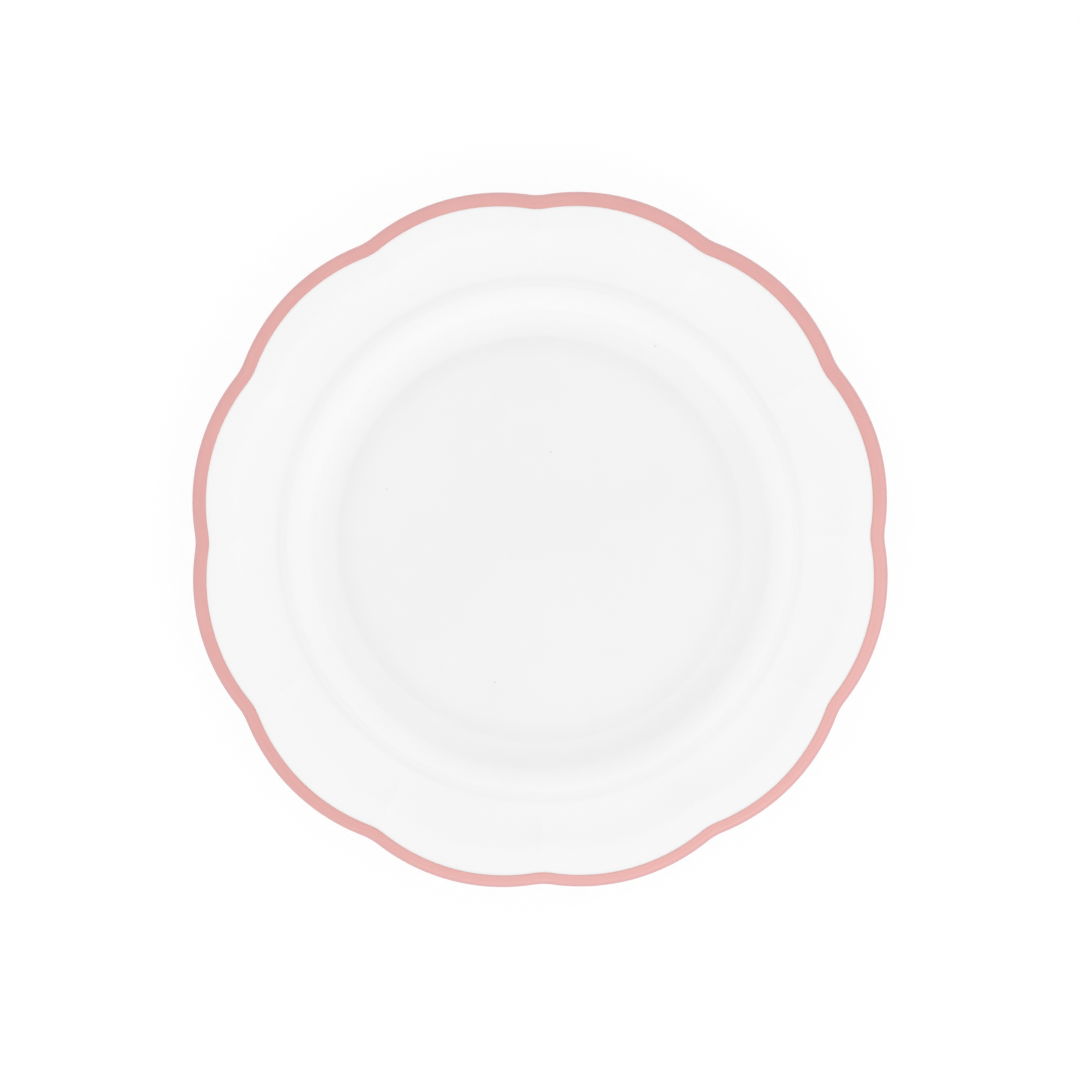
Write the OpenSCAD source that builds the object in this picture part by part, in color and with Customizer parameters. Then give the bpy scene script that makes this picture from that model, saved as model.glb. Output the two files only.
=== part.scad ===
// Scalloped dessert plate: a porcelain body on a foot ring, two coats of clear glaze and a painted lip.
// Millimetres, +Z up. The origin is the centre of the foot ring, on the surface that the plate stands on.

/* [Outline] */
// Diameter over the tips of the lobes, with glaze and enamel
plate_d = 220; // [200:1:280]
// Number of lobes round the edge
lobe_count = 12; // [8:1:16]
// Radius of one lobe, seen from above
lobe_r = 63; // [50:1:80]
// Radius of the hollow between two lobes, seen from above
valley_r = 20; // [10:1:30]

/* [Well] */
// Diameter of the flat floor
floor_d = 127; // [110:1:135]
// Depth of the floor below the ledge round the well
well_depth = 8; // [5:0.5:12]
// Width of the S-shaped wall between the floor and the ledge
wall_run = 16; // [13:0.5:20]
// Width of the level ledge between the wall and the rim
ledge_w = 1.4; // [0.5:0.1:4]

/* [Rim] */
// Rise of the rim from the ledge to the level brim
rim_rise = 4.5; // [2:0.5:6]
// Radius of the crest, where the rim turns level
crest_r = 12; // [8:0.5:16]
// Excess of the lip's radius over half the wall, which leaves a soft edge on both faces
lip_ease = 0.1; // [0.05:0.05:0.4]

/* [Body and coats] */
// Thickness of the porcelain
body_t = 3.6; // [2.6:0.1:4.6]
// Thickness of the glaze
glaze_t = 0.25; // [0.15:0.05:0.4]
// Thickness of the enamel on the glaze
enamel_t = 0.15; // [0.1:0.05:0.25]

/* [Foot ring] */
// Height of the base above the table
foot_h = 3.5; // [3:0.1:6]
// Width of the bare edge that stands on the table
bearing_w = 2.2; // [1.5:0.1:4]
// Bevel on both sides of the bare edge
foot_bevel = 0.4; // [0.2:0.1:0.6]
// Radius of the coves between the foot ring and the back of the plate
cove_r = 2.2; // [1:0.1:2.2]
// Distance from the edge of the floor to the outer cove
foot_setback = 0.5; // [0:0.5:20]
// Height up to which the glaze is wiped off the foot ring
wipe_h = 0.7; // [0.6:0.1:0.8]

/* [Band] */
// Width of the enamel band on the face
band_w = 4; // [2.8:0.1:6]
// Width of the enamel band on the back
band_back_w = 2.8; // [2.8:0.1:4]

/* [Hidden] */
$fn = 180;

// Least lap of two stretches that join, and the step to which the depth of the scallops is rounded up
seam = 0.2;
// How far the circles of lobes and valleys reach into each other, and how far a lap stays below a face
overlap = 0.05;
// Angle by which a lobe runs on into the valley
lap_angle = 2.4;

// Outline: lobe circles, and between them valley circles that run into them from outside
plate_r = plate_d / 2;
lobe_half = 180 / lobe_count;
lobe_x = plate_r - lobe_r;
centre_gap = lobe_r + valley_r - overlap;
valley_x = lobe_x * cos(lobe_half) + sqrt(pow(centre_gap, 2) - pow(lobe_x * sin(lobe_half), 2));
lobe_angle = atan2(valley_x * sin(lobe_half), valley_x * cos(lobe_half) - lobe_x);
valley_angle = lobe_angle - lobe_half;
scallop = seam * ceil((plate_r + valley_r - valley_x) / seam);

// Brim: widths inwards from the edge
coats_t = glaze_t + enamel_t;
lip_r = body_t / 2 + lip_ease;
lip_w = coats_t + lip_r;
brim_w = max(band_w, band_back_w, scallop + lip_w) + 2 * seam;

// Radii and heights of the upper face of the porcelain, from the floor out to the lip
floor_r = floor_d / 2;
floor_z = foot_h + body_t;
ledge_r = floor_r + wall_run;
ledge_z = floor_z + well_depth;
rise_r = ledge_r + ledge_w;
brim_r = plate_r - scallop - brim_w - seam;
rim_run = brim_r - rise_r;
brim_z = ledge_z + rim_rise;
join_r = plate_r - brim_w + seam;
lip_z = brim_z - body_t / 2;
plate_h = brim_z + coats_t;

// Bends of the upper face: two alike in the wall, and in the rim a hollow sweep that leads to the crest,
// which takes at most half of their room and leaves a bend on the back
bend_r = (pow(wall_run, 2) + pow(well_depth, 2)) / (4 * well_depth);
rim_bends = (pow(rim_run, 2) + pow(rim_rise, 2)) / (2 * rim_rise);
rim_crown_r = max(body_t + coats_t, min(crest_r, rim_bends / 2));
sweep_r = rim_bends - rim_crown_r;

// Foot ring: half its width at the neck, and the radius of its middle
foot_half = bearing_w / 2 + foot_bevel;
foot_r = floor_r - foot_setback - cove_r - foot_half;

// A level stretch of the wall from x1 to x2, with its upper face at z, grown by skin on both faces
module level_wall(x1, x2, z, skin) {
  translate([x1, z - body_t - skin]) square([x2 - x1, body_t + 2 * skin]);
}

// A bend of the wall round the first point of wedge, which also bounds it
module bent_wall(inner_r, wedge, skin) {
  intersection() {
    translate(wedge[0]) difference() {
      circle(inner_r + body_t + skin);
      circle(inner_r - skin);
    }
    polygon(wedge);
  }
}

// An S-shaped rise of the wall between two level stretches, first hollow and then crowned, with a lap
// inside the wall where the bends meet
module rising_wall(from, to, hollow_r, crown_r, skin) {
  hollow = from + [0, hollow_r];
  crown = to - [0, crown_r];
  top = max(hollow[1], plate_h) + seam;
  bent_wall(hollow_r, [hollow, crown, [to[0], 0], [from[0], 0]], skin);
  bent_wall(crown_r - body_t, [crown, hollow, [from[0], top], [to[0], top]], skin);
  middle = hollow + (crown - hollow) * (hollow_r + body_t / 2) / norm(crown - hollow);
  translate(middle) rotate(atan2(crown[1] - hollow[1], crown[0] - hollow[0]))
    square([body_t + 2 * (skin - overlap), 2 * seam], center = true);
}

// One side of the foot ring's section, with the cove that runs it into the back of the plate
module foot_side(skin) {
  neck = foot_half + skin;
  reach = foot_half + cove_r;
  cove_z = foot_h - cove_r;
  root_z = floor_z - body_t / 2;
  difference() {
    polygon([
      [0, 0], [bearing_w / 2, 0], [neck, foot_bevel], [neck, cove_z],
      [reach, cove_z], [reach, root_z], [0, root_z]
    ]);
    translate([reach, cove_z]) circle(cove_r - skin);
  }
}

// Section of the turned part, grown by skin: floor, foot ring, wall, ledge, rim and the inside of the brim
module turned_section(skin) {
  level_wall(0, floor_r, floor_z, skin);
  rising_wall([floor_r, floor_z], [ledge_r, ledge_z], bend_r, bend_r, skin);
  level_wall(ledge_r, rise_r, ledge_z, skin);
  rising_wall([rise_r, ledge_z], [brim_r, brim_z], sweep_r, rim_crown_r, skin);
  level_wall(brim_r, join_r, brim_z, skin);
  translate([foot_r, 0]) {
    foot_side(skin);
    mirror([1, 0]) foot_side(skin);
  }
}

// Section of the edge, grown by skin, with the finished edge at x = 0: a round lip on a tall block
module edge_section(skin, width, half_h) {
  translate([-lip_w, lip_z]) circle(lip_r + skin);
  translate([-width, lip_z - half_h]) square([width - lip_w, 2 * half_h]);
}

// The scalloped brim, grown by skin: the edge goes out and round each lobe, and back round each valley,
// and is then cut level above and below
module brim(skin, width) {
  intersection() {
    for (k = [0 : lobe_count - 1]) rotate(2 * k * lobe_half) {
      rotate(lobe_half) translate([lobe_x, 0]) rotate(-lobe_angle - lap_angle)
        rotate_extrude(angle = 2 * (lobe_angle + lap_angle))
          translate([lobe_r, 0]) edge_section(skin, width, body_t);
      translate([valley_x, 0]) rotate(180 - valley_angle) rotate_extrude(angle = 2 * valley_angle)
        translate([valley_r, 0]) mirror([1, 0]) edge_section(skin, width, body_t + seam);
    }
    rotate_extrude() level_wall(0, plate_d, brim_z, skin);
  }
}

// A coat on the brim, between two skins
module brim_coat(inner, outer) {
  difference() {
    brim(outer, brim_w);
    brim(inner, brim_w + seam);
  }
}

// The outline seen from above, drawn in by inset
module outline(inset) {
  lobe = [lobe_x * cos(lobe_half), lobe_x * sin(lobe_half)];
  for (k = [0 : lobe_count - 1]) rotate(2 * k * lobe_half) {
    translate(lobe) circle(lobe_r - inset);
    difference() {
      polygon([[valley_x, 0], lobe, [lobe[0], -lobe[1]]]);
      translate([valley_x, 0]) circle(valley_r + inset);
    }
  }
}

// Section of the glaze on the turned part, without what is wiped off the foot ring
module turned_glaze() {
  difference() {
    turned_section(glaze_t);
    turned_section(0);
    square([ledge_r, wipe_h]);
  }
}

// The space under the base, inside the middle of the foot ring
module base_side() {
  square([foot_r, floor_z - body_t / 2]);
}

// The fired body with its foot ring, whose edge stays bare
module porcelain_body() color("whitesmoke") {
  rotate_extrude() turned_section(0);
  brim(0, brim_w);
}

// The coat of glaze over the face, the lip and the back, down to the outside of the foot ring
module face_glaze() color("white") {
  rotate_extrude() difference() {
    turned_glaze();
    base_side();
  }
  brim_coat(0, glaze_t);
}

// The coat of glaze inside the foot ring
module base_glaze() color("white") rotate_extrude() intersection() {
  turned_glaze();
  base_side();
}

// The enamel band, painted on the glaze and wrapped over the lip
module rim_band() color("#e3ada8") difference() {
  brim_coat(glaze_t, coats_t);
  translate([0, 0, lip_z]) linear_extrude(plate_h) outline(band_w);
  linear_extrude(lip_z) outline(band_back_w);
}

porcelain_body();
face_glaze();
base_glaze();
rim_band();
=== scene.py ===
import math

import bmesh
import bpy
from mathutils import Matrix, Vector


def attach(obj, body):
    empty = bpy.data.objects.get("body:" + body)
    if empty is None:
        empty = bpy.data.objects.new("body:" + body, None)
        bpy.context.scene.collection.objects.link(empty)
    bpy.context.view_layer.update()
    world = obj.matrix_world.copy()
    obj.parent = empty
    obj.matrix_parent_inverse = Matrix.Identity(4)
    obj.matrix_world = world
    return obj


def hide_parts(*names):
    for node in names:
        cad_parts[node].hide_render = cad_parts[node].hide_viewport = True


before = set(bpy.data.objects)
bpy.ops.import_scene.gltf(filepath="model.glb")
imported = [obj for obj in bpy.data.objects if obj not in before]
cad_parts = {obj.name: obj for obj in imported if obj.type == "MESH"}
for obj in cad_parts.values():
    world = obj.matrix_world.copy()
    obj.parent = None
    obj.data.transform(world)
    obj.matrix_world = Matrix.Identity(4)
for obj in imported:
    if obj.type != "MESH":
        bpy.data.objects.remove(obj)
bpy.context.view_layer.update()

# Porcelain body: white clay pressed in one piece, with its scalloped rim and its foot ring, and fired.
# The glaze hides all of it but the narrow edge of the foot ring that stands on the table, which is
# wiped bare before the firing.
mm = 0.001
quarter_turn = math.pi / 2

# Outline, seen from above: arcs of lobes and hollows that touch, drawn a hair inside the solid's
full_r = 110 * mm
hair = 0.02 * mm
plate_r = full_r - hair
lobe_count = 12
lobe_r = 63 * mm
valley_r = 20 * mm
lobe_half = math.pi / lobe_count
lobe_x = plate_r - lobe_r
lobe_far = lobe_x * math.cos(lobe_half)
lobe_off = lobe_x * math.sin(lobe_half)
valley_x = lobe_far + math.sqrt((lobe_r + valley_r) ** 2 - lobe_off ** 2)
touch = Vector((lobe_far, lobe_off)).lerp(Vector((valley_x, 0)), lobe_r / (lobe_r + valley_r))
touch_angle = math.atan2(touch.y, touch.x)

# Section of the face, from the floor outwards: an S-shaped wall, a ledge, a hollow sweep, a crest, and
# a brim that still rises a little
floor_r = 63.5 * mm
floor_z = 7.1 * mm
wall_run = 16 * mm
well_depth = 8 * mm
ledge_w = 1.4 * mm
rim_rise = 4.5 * mm
sweep_r = 40.7 * mm
sweep_turn = math.radians(22)
crest_r = 12 * mm
brim_tilt = math.radians(5)
ledge_r = floor_r + wall_run
ledge_z = floor_z + well_depth
rise_r = ledge_r + ledge_w
brim_z = ledge_z + rim_rise
bend_r = (wall_run ** 2 + well_depth ** 2) / (4 * well_depth)
bend_turn = 2 * math.atan2(well_depth, wall_run)
crest_x = rise_r + (sweep_r + crest_r) * math.sin(sweep_turn)
crest_z = ledge_z + sweep_r - (sweep_r + crest_r) * math.cos(sweep_turn)

# Thickness of the porcelain and of all coats on it, and the round lip
body_t = 3.6 * mm
finish_t = 0.4 * mm
lip_ease = 0.1 * mm
lip_r = body_t / 2 + lip_ease
lip_w = finish_t + lip_r
lip_z = brim_z - body_t / 2

# Foot ring, with bevels beside its bare edge and coves up to the back of the plate
foot_h = 3.5 * mm
foot_r = 59.3 * mm
bearing_w = 2.2 * mm
foot_bevel = 0.4 * mm
cove_r = 2.2 * mm
cove_z = foot_h - cove_r
foot_half = bearing_w / 2 + foot_bevel
foot_outside = foot_r + foot_half
foot_inside = foot_r - foot_half
outer_cove = foot_outside + cove_r
inner_cove = foot_inside - cove_r

# Radius at which the scallops have their full depth, and the soft ridges down the rim at the hollows
brim_r = 101.9 * mm
ridge_h = 0.28 * mm
ridge_w = 1.8 * mm
ridge_start = 83.5 * mm
ridge_top = 91 * mm
ridge_fade = 97 * mm
ridge_end = 106 * mm

# Steps of the mesh along the section and round the plate, and how close two points may lie
floor_steps, base_steps = 12, 10
bend_steps, crest_steps, cove_steps, lip_steps = 10, 8, 8, 16
ledge_steps, brim_steps, bearing_steps = 2, 4, 3
lobe_steps = 30
turns = lobe_count * lobe_steps
crowding = 0.6
weld = 1e-7


class Section:
    """A line drawn in the plane of the plate's section, with straight stretches and arcs."""

    def __init__(self, clay, x, z):
        self.clay = clay
        self.first = self.last = clay.verts.new((x, 0, z))

    def to(self, x, z, steps=1):
        """Straight on to this point."""
        start = self.last.co.copy()
        for k in range(steps):
            grown = bmesh.ops.extrude_vert_indiv(self.clay, verts=[self.last])
            self.last = grown["verts"][0]
            self.last.co = start.lerp(Vector((x, 0, z)), (k + 1) / steps)
        return self

    def round(self, x, z, turn, steps):
        """On along an arc round this point."""
        swung = bmesh.ops.spin(
            self.clay, geom=[self.last], cent=(x, 0, z), axis=(0, -1, 0), angle=turn, steps=steps)
        self.last = [v for v in swung["geom_last"] if isinstance(v, bmesh.types.BMVert)][0]
        return self

    def face(self, skin):
        """From the middle of the floor out to the brim, over the face."""
        self.to(floor_r, floor_z + skin, floor_steps)
        self.round(floor_r, floor_z + bend_r, bend_turn, bend_steps)
        self.round(ledge_r, ledge_z - bend_r, -bend_turn, bend_steps)
        self.to(rise_r, ledge_z + skin, ledge_steps)
        self.round(rise_r, ledge_z + sweep_r, sweep_turn, bend_steps)
        return self.round(crest_x, crest_z, brim_tilt - sweep_turn, crest_steps)

    def lip(self, skin):
        """Along the brim and round the lip, from the face to the back."""
        corner = math.asin((body_t / 2 + skin) / (lip_r + skin))
        self.to(plate_r - lip_w + (lip_r + skin) * math.cos(corner), brim_z + skin, brim_steps)
        return self.round(plate_r - lip_w, lip_z, -2 * corner, lip_steps)

    def back(self, skin):
        """From the lip in to the outside of the foot ring, over the back."""
        inner_r = crest_r - body_t - skin
        brim_end = (crest_x - inner_r * math.sin(brim_tilt), crest_z + inner_r * math.cos(brim_tilt))
        self.to(*brim_end, brim_steps)
        self.round(crest_x, crest_z, sweep_turn - brim_tilt, crest_steps)
        self.round(rise_r, ledge_z + sweep_r, -sweep_turn, bend_steps)
        self.to(ledge_r, ledge_z - body_t - skin, ledge_steps)
        self.round(ledge_r, ledge_z - bend_r, bend_turn, bend_steps)
        self.round(floor_r, floor_z + bend_r, -bend_turn, bend_steps)
        self.to(outer_cove, foot_h - skin)
        return self.round(outer_cove, cove_z, quarter_turn, cove_steps)


def off_hollow(angle):
    """The angle between this direction and the nearest hollow between two lobes."""
    return abs((angle + lobe_half) % (2 * lobe_half) - lobe_half)


def outline_dip(angle):
    """How far the outline lies inside the circle over the lobes, in this direction."""
    across = off_hollow(angle)
    if across < touch_angle:
        hollow = math.sqrt(valley_r ** 2 - (valley_x * math.sin(across)) ** 2)
        return plate_r - valley_x * math.cos(across) + hollow
    off = lobe_half - across
    return plate_r - lobe_x * math.cos(off) - math.sqrt(lobe_r ** 2 - (lobe_x * math.sin(off)) ** 2)


def ease(value, low, high):
    """Goes from 0 at low to 1 at high, with soft ends."""
    share = min(max((value - low) / (high - low), 0), 1)
    return share * share * (3 - 2 * share)


def throw_plate(name, clay):
    """Turns a section into a shell, presses scallops and ridges into its rim and makes it a piece.

    The steps round the plate crowd together at the hollows, where the ridges need them. Each point
    keeps the radius at which it was turned as its ring.
    """
    bmesh.ops.spin(
        clay, geom=clay.verts[:] + clay.edges[:], cent=(0, 0, 0), axis=(0, 0, 1),
        angle=2 * math.pi, steps=turns, use_merge=True)
    bmesh.ops.remove_doubles(clay, verts=clay.verts, dist=weld)
    bmesh.ops.recalc_face_normals(clay, faces=clay.faces)
    ring = clay.verts.layers.float.new("ring")
    for v in clay.verts:
        r = math.hypot(v.co.x, v.co.y)
        v[ring] = r
        turn = math.atan2(v.co.y, v.co.x)
        turn -= crowding * math.sin(lobe_count * turn) / lobe_count
        reach = r - ease(r, rise_r, brim_r) * outline_dip(turn)
        ridge = ridge_h * (ease(r, ridge_start, ridge_top) - ease(r, ridge_fade, ridge_end))
        crown = ridge * math.exp(-(r * off_hollow(turn) / ridge_w) ** 2)
        v.co = (reach * math.cos(turn), reach * math.sin(turn), v.co.z + crown)
    for f in clay.faces:
        f.smooth = True
    mesh = bpy.data.meshes.new(name)
    clay.to_mesh(mesh)
    clay.free()
    piece = bpy.data.objects.new(name, mesh)
    bpy.context.scene.collection.objects.link(piece)
    return piece


class Wire:
    """An output of a shader node: sums written with it add Math nodes."""

    def __init__(self, graph, socket):
        self.graph, self.socket = graph, socket

    def math(self, operation, a, b):
        """Adds a Math node to the wire's graph."""
        return self.graph.node("ShaderNodeMath", {"operation": operation}, {0: a, 1: b})

    def __add__(self, other):
        return self.math("ADD", self, other)

    def __radd__(self, other):
        return self.math("ADD", other, self)

    def __sub__(self, other):
        return self.math("SUBTRACT", self, other)

    def __rsub__(self, other):
        return self.math("SUBTRACT", other, self)

    def __mul__(self, other):
        return self.math("MULTIPLY", self, other)

    def __rmul__(self, other):
        return self.math("MULTIPLY", other, self)


class Graph:
    """The shader nodes of a material or a world, and ways to add to them."""

    def __init__(self, owner):
        owner.use_nodes = True
        self.owner, self.tree = owner, owner.node_tree

    def feed(self, socket, value):
        """Links a wire to a socket, or sets the socket's value."""
        if isinstance(value, Wire):
            self.tree.links.new(value.socket, socket)
        else:
            socket.default_value = value

    def node(self, kind, settings, inputs, out=0):
        """Adds a node, with its settings and then its inputs."""
        made = self.tree.nodes.new(kind)
        for key, value in settings.items():
            setattr(made, key, value)
        for key, value in inputs.items():
            self.feed(made.inputs[key], value)
        return Wire(self, made.outputs[out])

    def other(self, wire, out):
        """Another output of the node that a wire comes from."""
        return Wire(self, wire.socket.node.outputs[out])

    def set(self, shader, **inputs):
        """Feeds the inputs of a node that is there already."""
        for key, value in inputs.items():
            self.feed(self.tree.nodes[shader].inputs[key.replace("_", " ")], value)

    def place(self):
        """The point on the piece, in metres."""
        return self.node("ShaderNodeTexCoord", {}, {}, "Object")

    def blotches(self, scale, detail, vector=None):
        """Soft noise, with about scale blotches to a metre, or to a unit of the vector that is given."""
        spread = {"Vector": vector or self.place(), "Scale": scale, "Detail": detail}
        return self.node("ShaderNodeTexNoise", {}, spread)

    def ramp(self, value, low, high, at_low=0.0, at_high=1.0):
        """Goes from at_low to at_high while value goes from low to high, with soft ends."""
        ends = {0: value, 1: low, 2: high, 3: at_low, 4: at_high}
        return self.node("ShaderNodeMapRange", {"interpolation_type": "SMOOTHSTEP"}, ends)

    def follow(self, noise, at_low=0.0, at_high=1.0):
        """Follows a noise over the range that most of it lies in."""
        return self.ramp(noise, 0.3, 0.7, at_low, at_high)

    def blend(self, factor, a, b):
        """A colour between a and b."""
        return self.node("ShaderNodeMix", {"data_type": "RGBA"}, {0: factor, 6: a, 7: b}, 2)

    def dent(self, height, strength, distance):
        """Fine relief for a shader's Normal."""
        relief = {"Height": height, "Strength": strength, "Distance": distance}
        return self.node("ShaderNodeBump", {}, relief)


clay = bmesh.new()
body_line = Section(clay, 0, floor_z).face(0).lip(0).back(0)
body_line.to(foot_outside, foot_bevel).to(foot_r + bearing_w / 2, 0)
body_line.to(foot_r - bearing_w / 2, 0, bearing_steps).to(foot_inside, foot_bevel).to(foot_inside, cove_z)
body_line.round(inner_cove, cove_z, quarter_turn, cove_steps).to(0, foot_h, base_steps)
porcelain_body = throw_plate("porcelain_body_piece", clay)

biscuit_dark = (0.80, 0.77, 0.72, 1)
biscuit_pale = (0.88, 0.86, 0.82, 1)
grain_share = 0.6
biscuit = Graph(bpy.data.materials.new("bare_porcelain"))
grain = biscuit.blotches(scale=2600, detail=4)
cloud = biscuit.blotches(scale=90, detail=3)
biscuit_tone = biscuit.ramp(grain * grain_share + cloud * (1 - grain_share), low=0.35, high=0.65)
biscuit.set(
    "Principled BSDF",
    Base_Color=biscuit.blend(biscuit_tone, biscuit_dark, biscuit_pale),
    Roughness=biscuit.follow(grain, at_low=0.62, at_high=0.8),
    Normal=biscuit.dent(grain, strength=0.35, distance=0.08 * mm))
porcelain_body.data.materials.append(biscuit.owner)
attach(porcelain_body, "root")
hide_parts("porcelain_body")

# Face glaze: clear gloss glaze, dipped on and melted in the kiln. It covers the face, the lip and the
# back, and runs down the outside of the foot ring to just above the table. On the white clay it looks
# milky, with a few small brown specks.
glaze_t = 0.25 * mm
wipe_h = 0.7 * mm
clay = bmesh.new()
glaze_line = Section(clay, 0, floor_z + glaze_t).face(glaze_t).lip(glaze_t).back(glaze_t)
glaze_line.to(foot_outside + glaze_t, wipe_h)
under_line = Section(clay, 0, floor_z).face(0).lip(0).back(0).to(foot_outside, wipe_h)
clay.edges.new((glaze_line.last, under_line.last))
face_glaze = throw_plate("face_glaze_piece", clay)

milk_dark = (0.884, 0.883, 0.884, 1)
milk_pale = (0.893, 0.892, 0.893, 1)
speck_brown = (0.42, 0.36, 0.30, 1)
speck_strength = 0.2
cells_per_metre = 42.0
speckless_share = 0.94
sway_share = 0.8
white_glaze = Graph(bpy.data.materials.new("clear_glaze"))
sway = white_glaze.blotches(scale=22, detail=2)
peel = white_glaze.blotches(scale=160, detail=2)
cells = white_glaze.node(
    "ShaderNodeTexVoronoi", {"voronoi_dimensions": "2D"},
    {"Vector": white_glaze.place(), "Scale": cells_per_metre})
lot = white_glaze.node("ShaderNodeTexWhiteNoise", {}, {"Vector": white_glaze.other(cells, "Position")})
dot = white_glaze.ramp(cells, low=0.010, high=0.020, at_low=1.0, at_high=0.0)
speck = dot * white_glaze.ramp(lot, low=speckless_share, high=speckless_share + 0.001)
waves = sway * sway_share + peel * (1 - sway_share)
milk = white_glaze.blend(white_glaze.follow(sway), milk_dark, milk_pale)
white_glaze.set(
    "Principled BSDF",
    Base_Color=white_glaze.blend(speck * speck_strength, milk, speck_brown),
    Roughness=white_glaze.follow(peel, at_low=0.05, at_high=0.09),
    IOR=1.5,
    Normal=white_glaze.dent(waves, strength=0.06, distance=0.4 * mm))
face_glaze.data.materials.append(white_glaze.owner)
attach(face_glaze, "root")
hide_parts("face_glaze")

# Base glaze: the same glaze inside the foot ring. The wiped edge of the ring parts it from the coat
# outside, so it is a skin of its own.
clay = bmesh.new()
under_glaze = Section(clay, 0, foot_h - glaze_t).to(inner_cove, foot_h - glaze_t, base_steps)
under_glaze.round(inner_cove, cove_z, -quarter_turn, cove_steps).to(foot_inside - glaze_t, wipe_h)
under_clay = Section(clay, 0, foot_h).to(inner_cove, foot_h, base_steps)
under_clay.round(inner_cove, cove_z, -quarter_turn, cove_steps).to(foot_inside, wipe_h)
clay.edges.new((under_glaze.last, under_clay.last))
base_glaze = throw_plate("base_glaze_piece", clay)
base_glaze.data.materials.append(white_glaze.owner)
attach(base_glaze, "root")
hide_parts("base_glaze")

# Rim band: dusty pink enamel, brushed on over the glaze by hand on a turning wheel and fired again. It
# is wrapped over the lip, and runs a little further in on the face, where its edge strays, than on the
# back.
band_w = 4 * mm
band_back_w = 2.8 * mm
band_flat = band_w - lip_w
clay = bmesh.new()
stripes = []
for skin in (finish_t, glaze_t):
    inner_z = brim_z + skin - band_flat * math.tan(brim_tilt)
    stripe = Section(clay, plate_r - band_w, inner_z).lip(skin)
    stripes.append(stripe.to(plate_r - band_back_w, brim_z - body_t - skin))
clay.edges.new((stripes[0].first, stripes[1].first))
clay.edges.new((stripes[0].last, stripes[1].last))
rim_band = throw_plate("rim_band_piece", clay)

stray_mean = 0.25 * mm
stray_once, once_at = 0.4 * mm, math.radians(79)
stray_twice, twice_at = 0.23 * mm, math.radians(26)


def hand_wander(angle):
    """How far the painter strays inwards from the even width, in this direction."""
    once = stray_once * math.cos(angle - once_at)
    twice = stray_twice * math.cos(2 * (angle - twice_at))
    return stray_mean + once + twice


for v, edge in zip(rim_band.data.vertices, rim_band.data.attributes["ring"].data):
    share = 1 - (edge.value - plate_r + band_w) / band_flat
    if share > 0 and v.co.z > lip_z:
        stray = share * hand_wander(math.atan2(v.co.y, v.co.x))
        v.co.xy *= 1 - stray / v.co.xy.length
        v.co.z -= stray * math.tan(brim_tilt)

paint_dark = (0.740, 0.386, 0.366, 1)
paint_pale = (0.762, 0.410, 0.390, 1)
# Painted sheen: this paler pink stands for light caught on the side of the band towards the lower right.
paint_sheen = (0.835, 0.472, 0.453, 1)
# Painted shade: a duller pink for the round side of the lip, which turns away from the light.
lip_shade_pink = (0.66, 0.365, 0.365, 1)
paint_pool = (0.70, 0.33, 0.31, 1)
sheen_strength, pool_strength = 0.6, 0.2
sheen_side = (0.6, -0.8)
sheen_start, sheen_full = 10 * mm, 100 * mm
lip_shade_start, lip_shade_full = plate_r - 1.5 * mm, plate_r - 0.2 * mm
pool_start, pool_end = plate_r - band_w, plate_r - band_w + 0.7 * mm
strokes_round, strokes_across = 9, 900
stroke_share = 0.6
enamel = Graph(bpy.data.materials.new("pink_enamel"))
spot_x = enamel.node("ShaderNodeSeparateXYZ", {}, {0: enamel.place()})
spot_y = enamel.other(spot_x, "Y")
way_round = spot_x.math("ARCTAN2", spot_y, spot_x)
ring = enamel.node("ShaderNodeAttribute", {"attribute_name": "ring"}, {}, "Fac")
brush_way = enamel.node(
    "ShaderNodeCombineXYZ", {}, {0: way_round * strokes_round, 1: ring * strokes_across})
stroke = enamel.blotches(scale=1.0, detail=3, vector=brush_way)
cloud = enamel.blotches(scale=60, detail=3)
paint_tone = enamel.follow(stroke * stroke_share + cloud * (1 - stroke_share))
paint = enamel.blend(paint_tone, paint_dark, paint_pale)
# Painted sheen: the band is made paler towards the lower right, where it catches the light.
painted_sheen = enamel.ramp(spot_x * sheen_side[0] + spot_y * sheen_side[1], sheen_start, sheen_full)
paint = enamel.blend(painted_sheen * sheen_strength, paint, paint_sheen)
# Painted shade: the pink turns duller over the last of the lip.
paint = enamel.blend(enamel.ramp(ring, lip_shade_start, lip_shade_full), paint, lip_shade_pink)
pool = enamel.ramp(ring, pool_start, pool_end, at_low=1.0, at_high=0.0)
enamel.set(
    "Principled BSDF",
    Base_Color=enamel.blend(pool * pool_strength, paint, paint_pool),
    Roughness=enamel.follow(stroke, at_low=0.14, at_high=0.22),
    Specular_IOR_Level=0.35,
    Normal=enamel.dent(stroke, strength=0.10, distance=0.2 * mm))
rim_band.data.materials.append(enamel.owner)
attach(rim_band, "root")
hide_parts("rim_band")

# Table: a plain pale sheet that the plate stands on. To the lens, and in the gloss of the plate, it glows
# white, with a share of lit paper that keeps a faint shadow.
table_r, table_sides = 3.0, 96
glow_strength, glow_share = 1.03, 0.84
clay = bmesh.new()
bmesh.ops.create_circle(clay, cap_ends=True, segments=table_sides, radius=table_r)
sheet = bpy.data.meshes.new("table")
clay.to_mesh(sheet)
clay.free()
table = bpy.data.objects.new("table", sheet)
bpy.context.scene.collection.objects.link(table)
paper = Graph(bpy.data.materials.new("table_paper"))
paper.set("Principled BSDF", Base_Color=(0.9, 0.9, 0.9, 1), Roughness=0.9, Specular_IOR_Level=0.0)
lit_paper = Wire(paper, paper.tree.nodes["Principled BSDF"].outputs[0])
glow = paper.node("ShaderNodeEmission", {}, {"Color": (1, 1, 1, 1), "Strength": glow_strength})
rays = paper.node("ShaderNodeLightPath", {}, {}, "Is Camera Ray")
seen = rays + paper.other(rays, "Is Glossy Ray") + paper.other(rays, "Is Transmission Ray")
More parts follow.
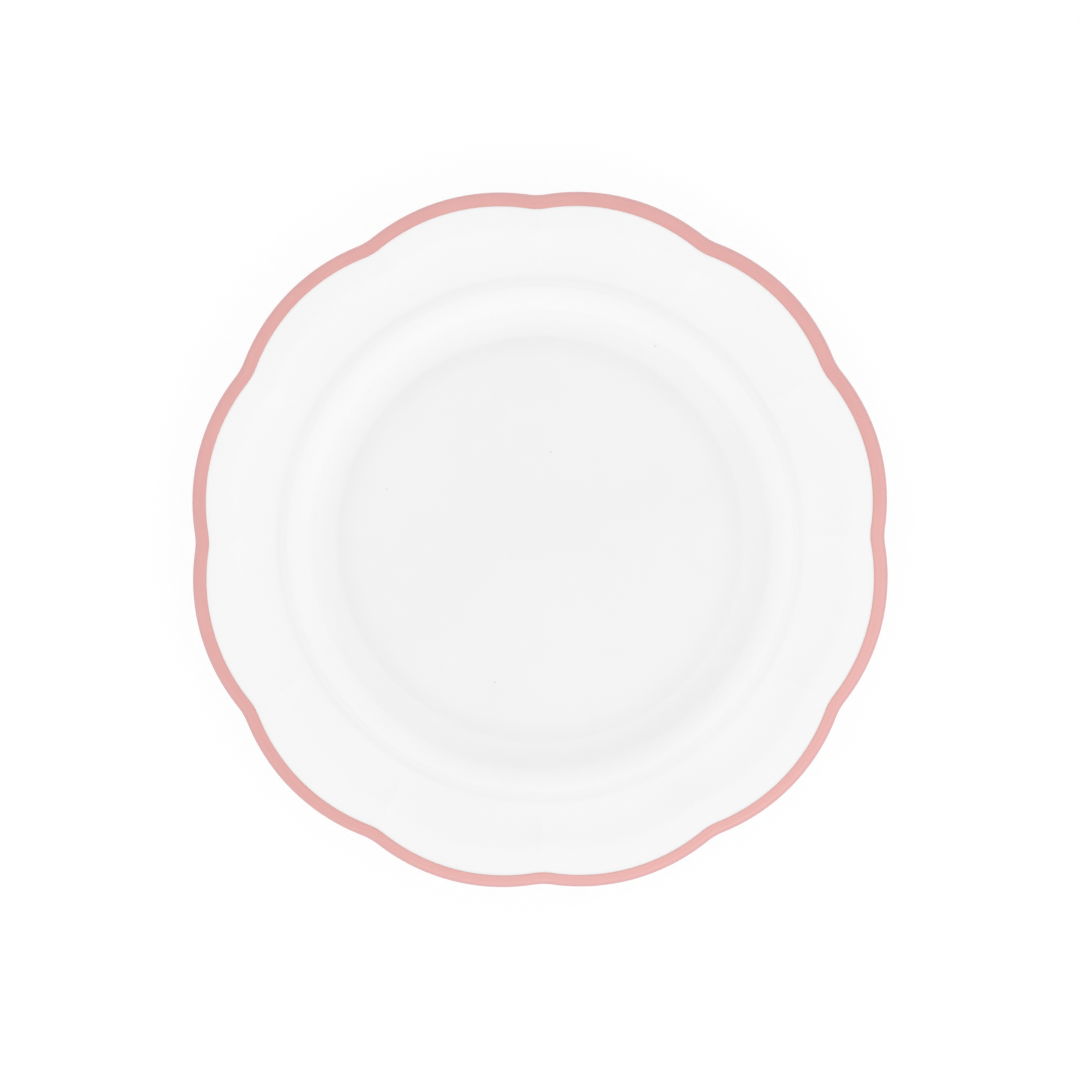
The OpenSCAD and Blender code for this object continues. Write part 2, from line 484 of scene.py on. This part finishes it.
shown = seen.math("MINIMUM", seen, 1.0) * glow_share
paper_look = paper.node("ShaderNodeMixShader", {}, {0: shown, 1: lit_paper, 2: glow})
paper.set("Material Output", Surface=paper_look)
table.data.materials.append(paper.owner)

# Light: a white tent all round, brighter at its foot than at its top, with a dim port where the lens looks
# in, and a large soft lamp at the lower right of the picture. The gloss of the plate shows the tent more
# even than it shines, and with a smaller port.
tent = Graph(bpy.data.worlds.new("tent"))
bpy.context.scene.world = tent.owner
sky_way = tent.node("ShaderNodeTexCoord", {}, {}, "Generated")
way_up = tent.node("ShaderNodeSeparateXYZ", {}, {0: sky_way}, "Z")


def tent_glow(top, foot_gain, port_edge, port_heart, port_dip):
    """How bright the tent is by height: 0 for way_up is its foot, and 1 is straight above."""
    return top + foot_gain * (1.0 - way_up) - tent.ramp(way_up, port_edge, port_heart, 0.0, port_dip)


cast = tent_glow(top=0.77, foot_gain=0.69, port_edge=0.972, port_heart=0.998, port_dip=0.72)
mirrored = tent_glow(top=0.84, foot_gain=0.26, port_edge=0.9988, port_heart=0.9998, port_dip=0.76)
glossy = tent.node("ShaderNodeLightPath", {}, {}, "Is Glossy Ray")
tent.set("Background", Color=(1, 1, 1, 1), Strength=mirrored * glossy + cast * (1.0 - glossy))

lamp = bpy.data.lights.new("key_lamp", "AREA")
lamp.shape = "RECTANGLE"
lamp.size = 1.0
lamp.size_y = 0.7
lamp.energy = 1.76
key = bpy.data.objects.new("key_lamp", lamp)
bpy.context.scene.collection.objects.link(key)
key.location = (0.45, -0.78, 0.81)
key.rotation_euler = (-key.location).to_track_quat("-Z", "Y").to_euler()
key.visible_glossy = False

# Lens: straight above the middle of the plate, far enough away for an even scale. The picture is 1080
# pixels wide, and the plate's radius over the lobes takes up 353 of them.
photo_px, plate_px = 1080, 353.0
stand_off = 1.6
off_centre = -0.17 * mm
roll = math.radians(-0.5)
half_view = 0.5 * photo_px * full_r / plate_px
lens = bpy.data.cameras.new("lens")
lens.sensor_fit = "HORIZONTAL"
lens.angle = 2 * math.atan(half_view / stand_off)
camera = bpy.data.objects.new("lens", lens)
bpy.context.scene.collection.objects.link(camera)
camera.location = (0, off_centre, brim_z + stand_off)
camera.rotation_euler = (0, 0, roll)
bpy.context.scene.camera = camera
bpy.context.scene.view_settings.view_transform = "Standard"
